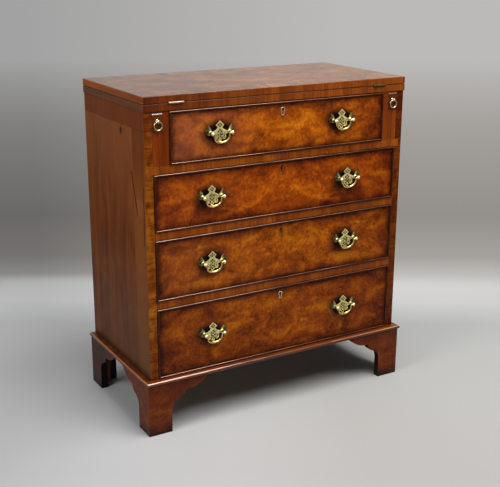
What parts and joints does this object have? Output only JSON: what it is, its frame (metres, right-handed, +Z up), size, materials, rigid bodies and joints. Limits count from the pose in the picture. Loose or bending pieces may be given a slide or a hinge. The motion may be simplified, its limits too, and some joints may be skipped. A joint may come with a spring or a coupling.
{
  "type": "bachelors chest",
  "caption": "Small walnut chest of graduated drawers on shaped bracket feet, with a top that folds forward on to pull-out lopers to make a writing surface.",
  "frame": {"origin": "on the floor, in the middle of the chest's outline seen from above", "axes": "+X along the front to the right of someone facing it, +Y from the front to the back, +Z up"},
  "size_m": [0.742, 0.369, 0.8026],
  "materials": {
    "walnut": "polished walnut veneer and mouldings with a wax sheen",
    "burr_walnut": "polished burr walnut veneer, bookmatched and crossbanded",
    "oak_linings": "dry unpolished oak",
    "pine_boards": "dry unpolished pine, darkened by age",
    "brass": "lightly worn brass with a soft polish"
  },
  "bodies": {
    "carcass": {"back_boards": "pine_boards", "bottom_board": "pine_boards", "fixed_top": "walnut", "base_moulding_front": "walnut", "base_moulding_left": "walnut", "base_moulding_right": "walnut", "divider_1": "walnut", "divider_2": "walnut", "divider_3": "walnut", "side_left": "walnut", "side_right": "walnut", "loper_partition_left": "walnut", "loper_partition_right": "walnut", "loper_rest_left": "walnut", "loper_rest_right": "walnut", "foot_front_left": "walnut", "foot_front_right": "walnut", "foot_back_left": "walnut", "foot_back_right": "walnut", "hinge_fixed_left": "brass", "hinge_fixed_right": "brass"},
    "folding_top": {"folding_top": "walnut", "hinge_folding_left": "brass", "hinge_folding_right": "brass"},
    "loper_left": {"loper_left": "walnut", "loper_left_eye": "brass"},
    "loper_right": {"loper_right": "walnut", "loper_right_eye": "brass"},
    "loper_left_ring": {"loper_left_ring": "brass"},
    "loper_right_ring": {"loper_right_ring": "brass"},
    "drawer_1": {"drawer_1_front": "burr_walnut", "drawer_1_frame": "oak_linings", "drawer_1_panel": "oak_linings", "drawer_1_keyhole_thread": "brass", "drawer_1_handle_left_plate": "brass", "drawer_1_handle_right_plate": "brass"},
    "drawer_2": {"drawer_2_front": "burr_walnut", "drawer_2_frame": "oak_linings", "drawer_2_panel": "oak_linings", "drawer_2_handle_left_plate": "brass", "drawer_2_handle_right_plate": "brass"},
    "drawer_3": {"drawer_3_front": "burr_walnut", "drawer_3_frame": "oak_linings", "drawer_3_panel": "oak_linings", "drawer_3_handle_left_plate": "brass", "drawer_3_handle_right_plate": "brass"},
    "drawer_4": {"drawer_4_front": "burr_walnut", "drawer_4_frame": "oak_linings", "drawer_4_panel": "oak_linings", "drawer_4_keyhole_thread": "brass", "drawer_4_handle_left_plate": "brass", "drawer_4_handle_right_plate": "brass"},
    "drawer_1_bail_left": {"drawer_1_handle_left_bail": "brass"},
    "drawer_1_bail_right": {"drawer_1_handle_right_bail": "brass"},
    "drawer_2_bail_left": {"drawer_2_handle_left_bail": "brass"},
    "drawer_2_bail_right": {"drawer_2_handle_right_bail": "brass"},
    "drawer_3_bail_left": {"drawer_3_handle_left_bail": "brass"},
    "drawer_3_bail_right": {"drawer_3_handle_right_bail": "brass"},
    "drawer_4_bail_left": {"drawer_4_handle_left_bail": "brass"},
    "drawer_4_bail_right": {"drawer_4_handle_right_bail": "brass"}
  },
  "joints": [
    {"name": "top_fold", "type": "hinge", "parent": "carcass", "child": "folding_top", "pos_m": [0, -0.1683, 0.7854], "axis": [1, 0, 0], "range_deg": [0, 180]},
    {"name": "loper_left_slide", "type": "slide", "parent": "carcass", "child": "loper_left", "axis": [0, -1, 0], "range_m": [0, 0.2]},
    {"name": "loper_right_slide", "type": "slide", "parent": "carcass", "child": "loper_right", "axis": [0, -1, 0], "range_m": [0, 0.2]},
    {"name": "loper_left_ring_swing", "type": "hinge", "parent": "loper_left", "child": "loper_left_ring", "pos_m": [-0.322, -0.1705, 0.747], "axis": [-1, 0, 0], "range_deg": [-8, 95]},
    {"name": "loper_right_ring_swing", "type": "hinge", "parent": "loper_right", "child": "loper_right_ring", "pos_m": [0.322, -0.1705, 0.747], "axis": [-1, 0, 0], "range_deg": [-8, 95]},
    {"name": "drawer_1_slide", "type": "slide", "parent": "carcass", "child": "drawer_1", "axis": [0, -1, 0], "range_m": [0, 0.24]},
    {"name": "drawer_2_slide", "type": "slide", "parent": "carcass", "child": "drawer_2", "axis": [0, -1, 0], "range_m": [0, 0.24]},
    {"name": "drawer_3_slide", "type": "slide", "parent": "carcass", "child": "drawer_3", "axis": [0, -1, 0], "range_m": [0, 0.24]},
    {"name": "drawer_4_slide", "type": "slide", "parent": "carcass", "child": "drawer_4", "axis": [0, -1, 0], "range_m": [0, 0.24]},
    {"name": "drawer_1_bail_left_swing", "type": "hinge", "parent": "drawer_1", "child": "drawer_1_bail_left", "pos_m": [-0.168, -0.18, 0.7099], "axis": [-1, 0, 0], "range_deg": [-5, 110]},
    {"name": "drawer_1_bail_right_swing", "type": "hinge", "parent": "drawer_1", "child": "drawer_1_bail_right", "pos_m": [0.168, -0.18, 0.7099], "axis": [-1, 0, 0], "range_deg": [-5, 110]},
    {"name": "drawer_2_bail_left_swing", "type": "hinge", "parent": "drawer_2", "child": "drawer_2_bail_left", "pos_m": [-0.19, -0.18, 0.56365], "axis": [-1, 0, 0], "range_deg": [-5, 110]},
    {"name": "drawer_2_bail_right_swing", "type": "hinge", "parent": "drawer_2", "child": "drawer_2_bail_right", "pos_m": [0.19, -0.18, 0.56365], "axis": [-1, 0, 0], "range_deg": [-5, 110]},
    {"name": "drawer_3_bail_left_swing", "type": "hinge", "parent": "drawer_3", "child": "drawer_3_bail_left", "pos_m": [-0.19, -0.18, 0.4054], "axis": [-1, 0, 0], "range_deg": [-5, 110]},
    {"name": "drawer_3_bail_right_swing", "type": "hinge", "parent": "drawer_3", "child": "drawer_3_bail_right", "pos_m": [0.19, -0.18, 0.4054], "axis": [-1, 0, 0], "range_deg": [-5, 110]},
    {"name": "drawer_4_bail_left_swing", "type": "hinge", "parent": "drawer_4", "child": "drawer_4_bail_left", "pos_m": [-0.19, -0.18, 0.2269], "axis": [-1, 0, 0], "range_deg": [-5, 110]},
    {"name": "drawer_4_bail_right_swing", "type": "hinge", "parent": "drawer_4", "child": "drawer_4_bail_right", "pos_m": [0.19, -0.18, 0.2269], "axis": [-1, 0, 0], "range_deg": [-5, 110]}
  ]
}
